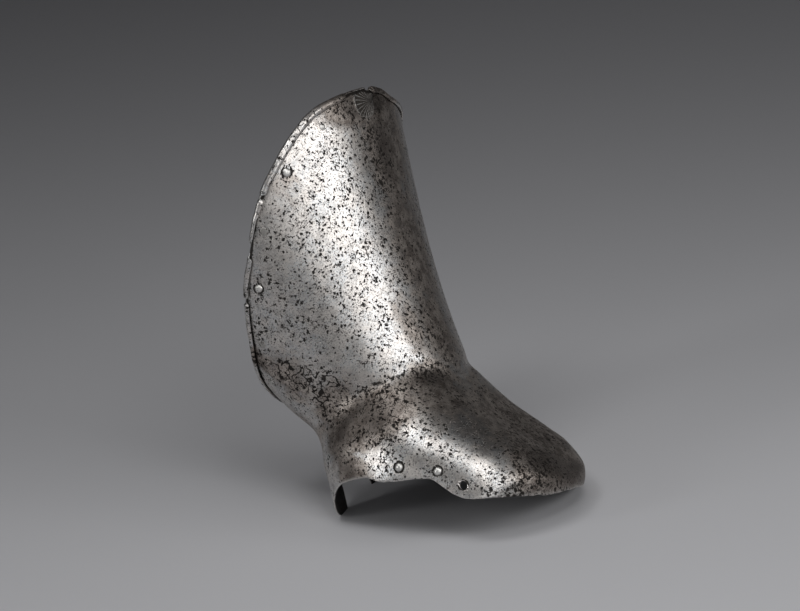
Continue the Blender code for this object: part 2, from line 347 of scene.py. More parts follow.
# Grime and painted shade in the gap behind the roll: where it ends inside the roll, and how far it
# reaches down the sheet. Low on the thumb side it reaches further, by this much, from the first
# pair of angles to the second.
RIM_GRIME_AND_SHADE_ENDS = (-0.9, -0.2)
RIM_GRIME_AND_SHADE_REACH = 1.6
LOW_GRIME_AND_SHADE_EXTRA = 2.0
LOW_GRIME_AND_SHADE_TOP = (84.0, 76.0)
LOW_GRIME_AND_SHADE_FOOT = (30.0, 44.0)
# A ring of dirt is this far out from the rivet's head, and this wide.
RING_OUT = 0.2
RING_WIDTH = 0.7
# Brightness: along the worn hand edge, and on the roll up to the tip
EDGE_SHINE_WIDTH = 0.7
ROLL_SHINE_FROM = (-0.5, -1.1)
ROLL_SHINE_TO = (178.0, 175.5)
# Where the painted shade of the inside starts, from the rim
INSIDE_SHADE_FROM = (-0.2, 4.0)
# The fan's dark ground, its bright outline, and the hollow's stain, in shares of their own radius
FAN_GROUND_ENDS = (0.9, 1.0)
FAN_OUTLINE_SHINE = 0.8
FAN_OUTLINE_SHINE_WIDTH = 0.07
HOLLOW_STAIN_ENDS = (0.7, 1.5)

# Colours of the sheet
WARM_STEEL = (0.61, 0.57, 0.535)
COOL_STEEL = (0.515, 0.535, 0.55)
POLISH_STROKE = (0.70, 0.67, 0.64)
STAINED_STEEL = (0.34, 0.325, 0.315)
DARK_BROWN = (0.14, 0.112, 0.094)
LIGHT_BROWN = (0.50, 0.445, 0.40)
DEEPEST_BROWN = (0.105, 0.086, 0.074)
FAN_GROUND = (0.10, 0.088, 0.078)
WORN_BRIGHT = (0.70, 0.68, 0.65)
ROLL_BRIGHT = (0.68, 0.66, 0.63)
# Painted shade: the near-black laid over the inner face
INSIDE_PAINTED_SHADE = (0.035, 0.031, 0.028)
OXIDE_BLACK = (0.020, 0.017, 0.015)
# Colours of the rivets, each between two
DULL_RIVET = ((0.30, 0.285, 0.265), (0.56, 0.545, 0.52))
BRIGHT_RIVET = ((0.72, 0.71, 0.68), (0.86, 0.85, 0.82))
RIVET_SPOT = (0.10, 0.09, 0.08)

# The level that noise has to pass to be a pit: where pits are few, and where they crowd
PEPPER_LEVELS = (0.585, 0.52)
SMALL_PIT_LEVELS = (0.63, 0.57)
LARGE_PIT_LEVELS = (0.657, 0.585)
# The largest speck's reach as a share of its cell, where pits are few, and where they crowd. Others
# are smaller, down to this share of that, and all have an edge this soft.
SPECK_REACH = (0.18, 0.42)
SMALLEST_SPECK = 0.45
SPECK_EDGE = 0.06
# The middle value of noise. Worm tracks run where it is this near to that: none, and full.
NOISE_MIDDLE = 0.5
TRACK_BAND = (0.070, 0.048)
# The way that old polishing strokes run, and how much longer than wide they are
STROKE_AXIS = Vector((0.59, 0.53, 0.61))
STROKE_LENGTH = 1.35

FLOOR_SIZE = 6.0
FLOOR_COLOUR = (0.63, 0.63, 0.65, 1.0)
FLOOR_ROUGHNESS = 0.9
FLOOR_SPECULAR = 0.1
WORLD_COLOUR = (0.010, 0.010, 0.012, 1.0)

# Softboxes face this point, in the frame's metres, and are this far from it.
MIDDLE = Vector((-0.01, 0.0, 0.07))
SOFTBOXES = [
    # name, azimuth, elevation, distance, width, height, power
    ("right_strip", 80.0, 26.5, 0.8, 0.62, 0.18, 1.25),
    ("right_edge", 101.0, 16.0, 1.0, 0.46, 0.32, 0.75),
    ("camera_low", 42.0, 8.0, 1.1, 0.45, 0.30, 0.42),
    ("camera_high", 50.0, 21.0, 1.1, 0.36, 0.26, 0.5),
    ("front_low", 18.0, 7.0, 1.1, 0.50, 0.30, 0.15),
    ("front", -4.0, 17.0, 1.1, 0.40, 0.30, 0.3),
    ("top_left", -20.0, 58.0, 0.7, 0.24, 0.20, 0.45),
    ("top_right", 45.0, 46.0, 0.7, 0.26, 0.19, 0.65),
    ("overhead", 0.0, 68.0, 0.7, 0.50, 0.26, 0.75),
    ("left_strip", -37.0, 18.0, 1.1, 0.21, 0.34, 1.35),
    ("back_right", 172.0, 12.0, 1.4, 1.00, 0.40, 0.18),
    ("back_left", -115.0, 32.0, 1.4, 1.00, 0.80, 0.1),
]

# Camera: its place and roll in degrees and metres round its target, and its lens and sensor
CAMERA_AZIMUTH = 27.7
CAMERA_ELEVATION = 18.2
CAMERA_ROLL = 5.3
CAMERA_DISTANCE = 1.5
CAMERA_LENS = 162.0
CAMERA_SENSOR = 36.0
CAMERA_CLIP = 20.0
CAMERA_TARGET = Vector((-0.0182, 0.0004, 0.0774))


def smooth_line(rows, column=1, flat_end=False):
    """A function that runs through the rows as a monotone cubic, and straight on past both ends."""
    xs = np.array([row[0] for row in rows])
    ys = np.array([row[column] for row in rows])
    steps = np.diff(xs)
    slopes = np.diff(ys) / steps
    tangents = np.zeros(len(xs))
    tangents[0] = slopes[0]
    tangents[-1] = 0.0 if flat_end else slopes[-1]
    for i in range(1, len(xs) - 1):
        if slopes[i - 1] * slopes[i] > 0:
            before = 2 * steps[i] + steps[i - 1]
            after = steps[i] + 2 * steps[i - 1]
            tangents[i] = (before + after) / (before / slopes[i - 1] + after / slopes[i])

    def value(x):
        x = np.asarray(x, float)
        i = np.clip(np.searchsorted(xs, x) - 1, 0, len(steps) - 1)
        u = np.clip((x - xs[i]) / steps[i], 0.0, 1.0)
        inside = (
            ys[i] * (1 + 2 * u) * (1 - u) ** 2
            + tangents[i] * steps[i] * u * (1 - u) ** 2
            + ys[i + 1] * u * u * (3 - 2 * u)
            + tangents[i + 1] * steps[i] * u * u * (u - 1)
        )
        low_end = tangents[0] * np.minimum(x - xs[0], 0.0)
        high_end = tangents[-1] * np.maximum(x - xs[-1], 0.0)
        return inside + low_end + high_end

    return value


cuff_lines = {name: smooth_line(CUFF_SECTIONS, k) for k, name in enumerate(SECTION_COLUMNS) if k}
hand_lines = {name: smooth_line(HAND_SECTIONS, k) for k, name in enumerate(SECTION_COLUMNS) if k}
crease_line = smooth_line(CREASE)
crease_blend = smooth_line(CREASE_BLEND)
rim_line = smooth_line(RIM, flat_end=True)


def smoothstep(x, low, high):
    t = np.clip((np.asarray(x, float) - low) / (high - low), 0.0, 1.0)
    return t * t * (3 - 2 * t)


def bell(x, middle, width):
    """1 at the middle, and near 0 from two widths away."""
    return np.exp(-(((x - middle) / width) ** 2))


def mirrored(angle):
    """The angle from the palm, on either side: 0 to 180."""
    return np.abs((np.asarray(angle, float) + 180.0) % 360.0 - 180.0)


def crease_at(angle):
    return crease_line(mirrored(angle))


def rim_at(angle):
    return rim_line(mirrored(angle))


def section_at(rise, blend):
    """The section's sizes this far above the crease, where cuff and hand blend over this far."""
    cuff = smoothstep(rise / blend, -1.0, 1.0)
    return {
        name: cuff * cuff_lines[name](np.maximum(rise, -blend))
        + (1 - cuff) * hand_lines[name](np.minimum(rise, blend))
        for name in cuff_lines
    }


def sheet_point(angle, along):
    """Points in the middle of the sheet's thickness, in sleeve axes and millimetres."""
    angle = np.asarray(angle, float)
    section = section_at(along - crease_at(angle), crease_blend(mirrored(angle)))
    sine = np.sin(np.radians(angle))
    cosine = np.cos(np.radians(angle))
    power = np.where(cosine < 0, section["back_power"], section["palm_power"])
    face = np.where(cosine < 0, section["back"], section["palm"])
    x = section["middle"] + (face - section["middle"]) * np.abs(cosine) ** (2 / power)
    y = -section["half_width"] * np.sign(sine) * np.abs(sine) ** (2 / power)
    return np.stack([x, y, along + 0 * x], -1)


def stance_turn():
    """Turns the sleeve's axes into the frame's."""
    lean = Matrix.Rotation(math.radians(-LEAN), 3, "Y")
    tilt = Matrix.Rotation(math.radians(-TILT), 3, "X")
    return np.array(tilt @ lean)


def along_at(angle, height):
    """How far along the sleeve this line of it comes down to this height above the surface."""
    upright = stance_turn()[2]
    low, high = FOOT_SEARCH
    for _ in range(FOOT_SEARCH_STEPS):
        middle = (low + high) / 2
        if sheet_point(angle, middle) @ upright > height - STANDING:
            high = middle
        else:
            low = middle
    return low


def standing_rows(rows):
    return [(angle, along_at(angle, height)) for angle, height in rows]


hand_edge = smooth_line(standing_rows(PALM_FOOT) + KNUCKLE_EDGE + standing_rows(FAR_EDGE))


def unit(vectors):
    return vectors / np.linalg.norm(vectors, axis=-1, keepdims=True)


def sheet_normal(angle, along):
    step = NORMAL_STEP
    round_it = sheet_point(angle + step, along) - sheet_point(angle - step, along)
    up_it = sheet_point(angle, along + step) - sheet_point(angle, along - step)
    return unit(np.cross(round_it, up_it))


def cloud(points, size, seed):
    """Smooth noise in -1 to 1 at each point, with features of about this size, in millimetres."""
    shift = Vector([seed * way for way in SEED_SHIFT])
    flat = points.reshape(-1, 3) / size
    values = [noise.noise(Vector(p) + shift) for p in flat]
    return np.array(values).reshape(points.shape[:-1])


def unevenness(points, rows):
    """Clouds added up, from rows of feature size, height and seed."""
    return sum(height * cloud(points, size, seed) for size, height, seed in rows)


def edge_thickness(distance):
    """The share of the full thickness that a worn, rounded edge has at this distance from it."""
    t = np.clip(distance / EDGE_ROUND, 0.0, 1.0)
    return EDGE_THINNEST + (1 - EDGE_THINNEST) * np.sqrt(1 - (1 - t) ** 2)


def column_angles():
    """The seam's two free edges get closer columns, for their rounding."""
    first_edge, last_edge = SEAM_ANGLES
    angles = [first_edge + step for step in SEAM_STEPS[:-1]]
    for first, last, step in COLUMN_SPANS:
        count = round((last - first) / step)
        angles += [first + (last - first) * k / count for k in range(count)]
    return np.array(angles + [last_edge - step for step in reversed(SEAM_STEPS)])


def hand_edge_worn(angle):
    """The hand edge with the small waves and nicks of wear."""
    line = sheet_point(angle, hand_edge(angle))
    bite = smoothstep(cloud(line, NICK_SIZE, NICK_SEED), *NICK_LEVELS)
    return hand_edge(angle) + unevenness(line, EDGE_WAVES) + NICK_DEPTH * bite


def rim_worn(angle):
    """The rim's base line with its dents, and the notch at the tip."""
    line = sheet_point(angle, rim_at(angle))
    notch = bell(angle, NOTCH["angle"], NOTCH["width"])
    bent_down = sum(drop * smoothstep(angle, first, last) for drop, first, last in RIM_DROPS)
    bent_down = bent_down * smoothstep(angle, *RIM_DROPS_END)
    return rim_at(angle) - NOTCH["depth"] * notch - bent_down + unevenness(line, RIM_DENTS)


def grid_rows(angle):
    """Distances along the sleeve for each column, from the hand edge to the rim's base."""
    edge = hand_edge_worn(angle)[:, None]
    crease = crease_at(angle)[:, None]
    rim = rim_worn(angle)[:, None]
    edge_rows = edge + np.array(EDGE_STEPS)[None]
    last = edge_rows[:, -1:]
    hand = last + (crease - last) * (np.arange(1, HAND_ROWS) / HAND_ROWS)[None]
    cuff = crease + (rim - RIM_BAND - crease) * (np.arange(CUFF_ROWS) / CUFF_ROWS)[None]
    band = rim - RIM_BAND + RIM_BAND * (np.arange(RIM_ROWS + 1) / RIM_ROWS)[None]
    return np.concatenate([edge_rows, hand, cuff, band], 1)


def reach_in(oval, angle, along):
    """Distance from an oval's centre as a share of its own radius that way: 1 on its outline."""
    across = (angle - oval["angle"]) * TIP_MM_PER_DEGREE / oval["width"]
    return np.hypot(across, (along - oval["along"]) / oval["height"])


def tip_relief(angle, along):
    """The fan is struck slightly into the sheet, in a raised outline, and the hollow is deeper."""
    fan = reach_in(FAN, angle, along)
    outline = FAN_OUTLINE_HEIGHT * bell(fan, 1.0, FAN_OUTLINE_WIDTH)
    struck = -FAN_DEPTH * (1 - smoothstep(fan, *FAN_SLOPE)) + outline
    bruise = 1 - smoothstep(reach_in(HOLLOW, angle, along), *HOLLOW_SLOPE)
    return struck * (1 - bruise) - HOLLOW_DEPTH * bruise


def build_sheet():
    """The whole sheet's grid: outer and inner points, and what its finish is worked out from."""
    angles = column_angles()
    along = grid_rows(angles)
    angle = np.repeat(angles[:, None], along.shape[1], 1)
    true = sheet_point(angle, along)
    middle = true + sheet_normal(angle, along) * unevenness(true, HAMMERING)[..., None]
    normal = unit(np.cross(np.gradient(middle, axis=0), np.gradient(middle, axis=1)))

    start = middle[:, -1]
    start_normal = normal[:, -1]
    up = unit(np.cross(start_normal, np.gradient(start, axis=0)))
    radius = np.interp(angles, ROLL_ANGLES, ROLL_RADII) * (1 + unevenness(start, ROLL_DENTS))
    turn = np.radians(np.interp(angles, ROLL_ANGLES, ROLL_TURNS))
    centre = start + start_normal * radius[:, None]
    turns = turn[:, None] * (np.arange(1, ROLL_ROWS + 1) / ROLL_ROWS)[None]
    rise = up[:, None] * np.sin(turns)[..., None]
    reach = -start_normal[:, None] * np.cos(turns)[..., None]
    roll = centre[:, None] + (rise * ROLL_FLATNESS + reach) * radius[:, None, None]

    middle = np.concatenate([middle, roll], 1)
    normal = np.concatenate([normal, -unit(rise / ROLL_FLATNESS + reach)], 1)
    from_edge = np.concatenate([along - along[:, :1], np.full(turns.shape, FAR_AWAY)], 1)
    from_rim = np.concatenate([along[:, -1:] - along, -turns * radius[:, None]], 1)
    from_end = (turns[:, -1:] - turns) * radius[:, None]
    full_angle = np.repeat(angles[:, None], middle.shape[1], 1)
    first_edge, last_edge = SEAM_ANGLES
    from_seam = np.minimum(full_angle - first_edge, last_edge - full_angle) * SEAM_MM_PER_DEGREE

    half = np.full(middle.shape[:2], SHEET / 2)
    thin = smoothstep(from_rim, ROLL_THINNING, 0.0)
    half = half * (1 - thin) + ROLL_SHEET / 2 * thin
    half *= edge_thickness(from_edge) * edge_thickness(from_seam)
    half[:, -ROLL_ROWS:] *= edge_thickness(from_end * ROLL_EDGE_SHARPNESS)

    mark = np.zeros(middle.shape[:2])
    mark[:, : along.shape[1]] = tip_relief(angle, along)
    outer = middle + normal * (half + mark)[..., None]
    inner = middle - normal * (half - MARKS_INSIDE * mark)[..., None]
    full_along = np.concatenate([along, np.repeat(along[:, -1:], ROLL_ROWS, 1)], 1)
    facts = {
        "angle": full_angle,
        "along": full_along,
        "from_edge": from_edge,
        "from_rim": from_rim,
    }
    return outer, inner, facts


def rivet_nodes():
    nodes = [f"cuff_rivet_{k + 1}" for k in range(2 * len(CUFF_RIVETS))]
    return nodes + [f"thumb_rivet_{k + 1}" for k in range(len(THUMB_RIVETS))]


def all_rivets():
    """The cuff's are the same on both sides: up the thumb side, and down the far side."""
    far_side = [(360.0 - row[0], *row[1:]) for row in reversed(CUFF_RIVETS)]
    return CUFF_RIVETS + far_side + THUMB_RIVETS


def find_stance():
    """The turn and the shift from sleeve axes to the frame. The shift comes from the CAD rivets."""
    turn = stance_turn()
    shifts = []
    for node, (angle, along, *_) in zip(rivet_nodes(), all_rivets()):
        middle = np.mean([list(corner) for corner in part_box(node)], axis=0)
        place = sheet_point(angle, along) + sheet_normal(angle, along) * CAD_RIVET_MIDDLE
        shifts.append(middle - turn @ place * MM)
    return turn, np.mean(shifts, axis=0)


def to_frame(points, stance):
    turn, shift = stance
    return points @ turn.T * MM + shift


def blobs(rows, angle, along):
    """The strongest of the blobs at each point."""
    total = np.zeros(angle.shape)
    for centre, height, width, length, strength in rows:
        round_it = np.radians((angle - centre + 180.0) % 360.0 - 180.0) * BLOB_RADIUS
        reach = (round_it / width) ** 2 + ((along - height) / length) ** 2
        total = np.maximum(total, strength * np.exp(-reach))
    return total


def dirt_rings(angle, along):
    """Dirt in a ring round each rivet head and round the rust hole."""
    rings = [(centre, height, radius, dirt) for centre, height, _, radius, _, dirt in all_rivets()]
    here = sheet_point(angle, along)
    total = np.zeros(angle.shape)
    for centre, height, radius, dirt in rings + [(*RUST_HOLE, *RUST_HOLE_RING)]:
        apart = np.linalg.norm(here - sheet_point(centre, height), axis=-1)
        total = np.maximum(total, dirt * bell(apart - radius, RING_OUT, RING_WIDTH))
    return total


def sheet_masks(facts, inside):
    """What the steel reads at each point of the outer face, or of the inner one where inside is 1.

    Each says how much of a finish there is, from 0 for none to 1 or more, apart from fan_turn,
    which is the turn round the fan's hub in radians.
    """
    angle, along, from_rim = facts["angle"], facts["along"], facts["from_rim"]
    from_palm = mirrored(angle)
    outside = 1 - inside

    above_crease = along - crease_at(angle)
    thinned = 1 - CREASE_GRIME_AND_SHADE_THINNED * smoothstep(from_palm, *CREASE_GRIME_AND_SHADE_THINS)
    crease_grime_and_shade = smoothstep(from_palm, *CREASE_GRIME_AND_SHADE_FROM) * thinned
    below_crease = bell(above_crease, CREASE_TARNISH_AND_SHADE["above"], CREASE_TARNISH_AND_SHADE["width"])
    # The band below the crease is tarnish and painted shade.
    tarnish = np.maximum(blobs(TARNISH, angle, along), CREASE_TARNISH_AND_SHADE["strength"] * below_crease)

    # Grime and painted shade on the sheet below the roll
    below_top = smoothstep(angle, *LOW_GRIME_AND_SHADE_TOP)
    extra = LOW_GRIME_AND_SHADE_EXTRA * below_top * smoothstep(angle, *LOW_GRIME_AND_SHADE_FOOT)
    on_sheet = smoothstep(from_rim, *RIM_GRIME_AND_SHADE_ENDS)
    rim_grime_and_shade = on_sheet * np.exp(-np.maximum(from_rim, 0.0) / (RIM_GRIME_AND_SHADE_REACH + extra))

    fan = reach_in(FAN, angle, along)
    fan_outline = FAN_OUTLINE_SHINE * bell(fan, 1.0, FAN_OUTLINE_SHINE_WIDTH)
    hub_across = (angle - FAN_HUB["angle"]) * TIP_MM_PER_DEGREE
    hub_down = FAN_HUB["along"] - along
    roll = smoothstep(from_rim, *ROLL_SHINE_FROM) * outside * smoothstep(angle, *ROLL_SHINE_TO)
    return {
        "tarnish": tarnish,
        "worms": blobs(WORMS, angle, along),
        "pitting": blobs(PITTING, angle, along),
        # Grime and painted shade along the crease
        "crease": bell(above_crease, 0.0, CREASE_GRIME_AND_SHADE_WIDTH) * crease_grime_and_shade,
        "edge": bell(facts["from_edge"], 0.0, EDGE_SHINE_WIDTH),
        # Grime and painted shade behind the roll
        "rim_grime_and_shade": rim_grime_and_shade,
        "roll": roll,
        # Painted shade over the inner face, from the rim inward
        "inside": inside * smoothstep(from_rim, *INSIDE_SHADE_FROM),
        "fan": (1 - smoothstep(fan, *FAN_GROUND_ENDS)) * outside,
        "fan_outline": fan_outline * outside,
        "fan_turn": np.arctan2(hub_down, -hub_across),
        "hollow": 1 - smoothstep(reach_in(HOLLOW, angle, along), *HOLLOW_STAIN_ENDS),
        "ring": dirt_rings(angle, along),
    }


def new_mesh(name, points, faces, masks):
    """A smooth object, whose masks are values at its points that a material can read."""
    mesh = bpy.data.meshes.new(name)
    mesh.from_pydata(points.tolist(), [], faces.tolist())
    for key, values in masks.items():
        layer = mesh.attributes.new(key, "FLOAT", "POINT")
        layer.data.foreach_set("value", np.ascontiguousarray(values, np.float32).ravel())
    mesh.shade_smooth()
    mesh.update()
    obj = bpy.data.objects.new(name, mesh)
    bpy.context.scene.collection.objects.link(obj)
    return obj


def ring_faces(index):
    """Faces between neighbouring rows of this grid of points, each row a closed ring."""
    after = np.roll(index, -1, 1)
    return np.stack([index[:-1], index[1:], after[1:], after[:-1]], -1).reshape(-1, 4)


def make_sheet():
    """One closed skin: up the outer face, round the roll, down the inner, capped at the seam."""
    outer, inner, facts = build_sheet()
    columns, rows = outer.shape[:2]
    stance = find_stance()
    points = to_frame(np.concatenate([outer, inner[:, ::-1]], 1), stance)
    # Nothing goes below the surface that it stands on.
    points[..., 2] = np.maximum(points[..., 2], 0.0)
    index = np.arange(columns * 2 * rows).reshape(columns, 2 * rows)
    front = index[:, :rows]
    back = index[:, rows:][:, ::-1]
    first = np.stack([front[0, :-1], front[0, 1:], back[0, 1:], back[0, :-1]], -1)
    last = np.stack([front[-1, 1:], front[-1, :-1], back[-1, :-1], back[-1, 1:]], -1)
    faces = np.concatenate([ring_faces(index), first, last])
    outer_masks = sheet_masks(facts, 0.0)
    inner_masks = sheet_masks(facts, 1.0)
    masks = {
        key: np.concatenate([outer_masks[key], inner_masks[key][:, ::-1]], 1)
        for key in outer_masks
    }
    return new_mesh("sheet", points.reshape(-1, 3), faces, masks), stance


def surface_matrix(angle, along, stance):
    """Where a rivet or a hole sits: local Z is the outward normal, and local Y runs up the arm."""
    turn, _ = stance
    place = sheet_point(angle, along)
    normal = sheet_normal(angle, along)
    lift = unevenness(place[None], HAMMERING)[0]
    across = unit(np.cross(np.array([0.0, 0.0, 1.0]), normal))
    axes = np.stack([across, np.cross(normal, across), normal], 1)
    matrix = Matrix((turn @ axes).tolist()).to_4x4()
    matrix.translation = Vector(to_frame(place + normal * lift, stance))
    return matrix


def wobble(turn, uneven, oval_phase, lobed_phase):
    """A radius near 1 for a circle that came out a little oval and a little five-lobed."""
    oval, lobed = uneven
    return 1 + oval * math.sin(2 * turn + oval_phase) + lobed * math.sin(5 * turn + lobed_phase)


def cut_rust_hole(sheet, stance):
    """An uneven hole rusted through the sheet near the knuckle edge."""
    build = bmesh.new()
    bmesh.ops.create_cone(
        build,
        cap_ends=True,
        segments=RUST_HOLE_SIDES,
        radius1=1.0,
        radius2=1.0,
        depth=CUTTER_LENGTH,
    )
    half_width, half_height = RUST_HOLE_HALVES
    for vert in build.verts:
        turn = math.atan2(vert.co.y, vert.co.x)
        uneven = wobble(turn, RUST_HOLE_UNEVEN, RUST_HOLE_PHASE, 0.0)
        vert.co.x *= half_width * uneven
        vert.co.y *= half_height * uneven
    build.transform(surface_matrix(*RUST_HOLE, stance) @ Matrix.Scale(MM, 4))
    mesh = bpy.data.meshes.new("rust_hole")
    build.to_mesh(mesh)
    build.free()
    cutter = bpy.data.objects.new("rust_hole", mesh)
    bpy.context.scene.collection.objects.link(cutter)
    hole = sheet.modifiers.new("rust hole", "BOOLEAN")
    hole.object = cutter
    hole.operation = "DIFFERENCE"
    hole.solver = "EXACT"
    graph = bpy.context.evaluated_depsgraph_get()
    cut = bpy.data.meshes.new_from_object(sheet.evaluated_get(graph))
    sheet.modifiers.clear()
    sheet.data = cut
    bpy.data.objects.remove(cutter, do_unlink=True)


def make_rivet(name, row, seed, stance, material):
    """A hammered head on the outside, a shank, and a peened end on the inside."""
    angle, along, dome, radius, shine, _ = row
    face = SHEET / 2
    profile = [(radius * r, face + dome * z) for r, z in RIVET_HEAD]
    profile += [(radius, face - RIVET_SUNK), (RIVET_SHANK, face - RIVET_SUNK)]
    profile += [(r, -face + z) for r, z in RIVET_END]
    points = []
    for r, z in profile:
        for k in range(RIVET_SIDES):
            turn = math.tau * k / RIVET_SIDES
            reach = r * wobble(turn, RIVET_UNEVEN, seed, 2 * seed)
            points.append((reach * math.cos(turn), reach * math.sin(turn), z))
    points = np.array(points)
    hammered = unevenness(points + seed * RIVET_SHIFT, RIVET_HAMMERING)
    points[:, 2] += hammered * (points[:, 2] > face)
    index = np.arange(len(points)).reshape(len(profile), RIVET_SIDES)
    masks = {"shine": np.full(len(points), shine)}
    rivet = new_mesh(name, points * MM, ring_faces(index), masks)
    mesh = bmesh.new()
    mesh.from_mesh(rivet.data)
    bmesh.ops.remove_doubles(mesh, verts=mesh.verts, dist=SAME_POINT)
    bmesh.ops.recalc_face_normals(mesh, faces=mesh.faces)
    mesh.to_mesh(rivet.data)
    mesh.free()
    rivet.data.transform(surface_matrix(angle, along, stance))
    rivet.data.materials.append(material)
    return rivet


class Steel:
    """A node tree with short names for what it is built from. Sizes are in millimetres."""

    def __init__(self, name):
        self.material = bpy.data.materials.new(name)
        self.material.use_nodes = True
        self.tree = self.material.node_tree
        self.shader = self.tree.nodes["Principled BSDF"]
        self.place = self.node("ShaderNodeTexCoord").outputs["Object"]

    def node(self, kind, **settings):
        made = self.tree.nodes.new(kind)
        for key, value in settings.items():
            setattr(made, key, value)
        return made

    def feed(self, socket, value):
        if isinstance(value, bpy.types.NodeSocket):
            self.tree.links.new(value, socket)
        elif isinstance(value, tuple) and len(value) == 3 and socket.type == "RGBA":
            socket.default_value = (*value, 1.0)
        else:
            socket.default_value = value

    def math(self, operation, a, b=0.0):
        made = self.node("ShaderNodeMath", operation=operation)
        self.feed(made.inputs[0], a)
        self.feed(made.inputs[1], b)
        return made.outputs[0]

    def band(self, value, low, high, to_low=0.0, to_high=1.0):
        """Rises smoothly from to_low to to_high as the value goes from low to high."""
        made = self.node("ShaderNodeMapRange", interpolation_type="SMOOTHSTEP")
        for k, item in enumerate((value, low, high, to_low, to_high)):
            self.feed(made.inputs[k], item)
        return made.outputs[0]

    def scaled(self, value, share):
        return self.math("MULTIPLY", value, share)

    def less(self, value, other):
        return self.math("SUBTRACT", value, other)

    def over(self, value, low, spread):
        """Rises from 0 to 1 as the value goes from low to low + spread."""
        return self.band(self.less(value, low), 0.0, spread)

    def most(self, first, *others):
        for other in others:
            first = self.math("MAXIMUM", first, other)
        return first

    def mask(self, name):
        return self.node("ShaderNodeAttribute", attribute_name=name).outputs["Fac"]

    def ragged(self, name, size, share):
        """A mask of the mesh with noise added, so that cutting it off gives a ragged outline."""
        around = self.less(self.cloud(size, detail=4.0, roughness=0.6), NOISE_MIDDLE)
        return self.math("ADD", self.mask(name), self.scaled(around, 2 * share))

    def cloud(self, size, detail=2.0, roughness=0.5, place=None, distortion=0.0):
        """Noise in 0 to 1, with features of about this size."""
        made = self.node("ShaderNodeTexNoise")
        self.feed(made.inputs["Vector"], place or self.place)
        self.feed(made.inputs["Scale"], 1.0 / (size * MM))
        self.feed(made.inputs["Detail"], detail)
        self.feed(made.inputs["Roughness"], roughness)
        self.feed(made.inputs["Distortion"], distortion)
        return made.outputs["Fac"]

    def pits(self, size, reach, shift, raggedness):
        """Ragged round specks, at most one to a cell of this size, that reach this share of it."""
        place = self.shifted(shift)
        cells = self.node("ShaderNodeTexVoronoi")
        self.feed(cells.inputs["Vector"], place)
        self.feed(cells.inputs["Scale"], 1.0 / (size * MM))
        chance = self.node("ShaderNodeSeparateColor")
        self.feed(chance.inputs["Color"], cells.outputs["Color"])
        fine_cloud = self.cloud(size * 0.35, detail=3.0, roughness=0.65, place=place)
        around = self.less(fine_cloud, NOISE_MIDDLE)
        distance = self.math("ADD", cells.outputs["Distance"], self.scaled(around, raggedness))
        share = self.band(chance.outputs["Red"], 0.0, 1.0, to_low=SMALLEST_SPECK, to_high=1.0)
        return self.over(self.math("MULTIPLY", reach, share), distance, SPECK_EDGE)

    def shifted(self, shift):
        """Coordinates moved by this much, in metres, for a cloud that isn't like another."""
        made = self.node("ShaderNodeMapping")
        self.feed(made.inputs["Vector"], self.place)
        made.inputs["Location"].default_value = shift
        return made.outputs["Vector"]

    def stretched(self, axis, times):
        """Coordinates in which a texture comes out this many times longer along the axis."""
        made = self.node("ShaderNodeMapping", vector_type="TEXTURE")
        self.feed(made.inputs["Vector"], self.place)
        made.inputs["Rotation"].default_value = axis.to_track_quat("Z", "Y").to_euler()
        made.inputs["Scale"].default_value = (1.0, 1.0, times)
        return made.outputs["Vector"]

    def mix(self, share, a, b):
        """A colour that goes from a to b as the share goes from 0 to 1."""
        made = self.node("ShaderNodeMix", data_type="RGBA")
        self.feed(made.inputs["Factor"], share)
        self.feed(made.inputs["A"], a)
        self.feed(made.inputs["B"], b)
        return next(out for out in made.outputs if out.type == "RGBA")

    def blend(self, share, a, b):
        """A number that goes from a to b as the share goes from 0 to 1."""
        made = self.node("ShaderNodeMix", data_type="FLOAT")
        self.feed(made.inputs["Factor"], share)
        self.feed(made.inputs["A"], a)
        self.feed(made.inputs["B"], b)
        return made.outputs["Result"]

    def bump(self, height, depth, normal=None):
        made = self.node("ShaderNodeBump")
        self.feed(made.inputs["Height"], height)
        made.inputs["Distance"].default_value = depth * MM
        made.inputs["Strength"].default_value = 1.0
        if normal is not None:
            self.feed(made.inputs["Normal"], normal)
        return made.outputs["Normal"]


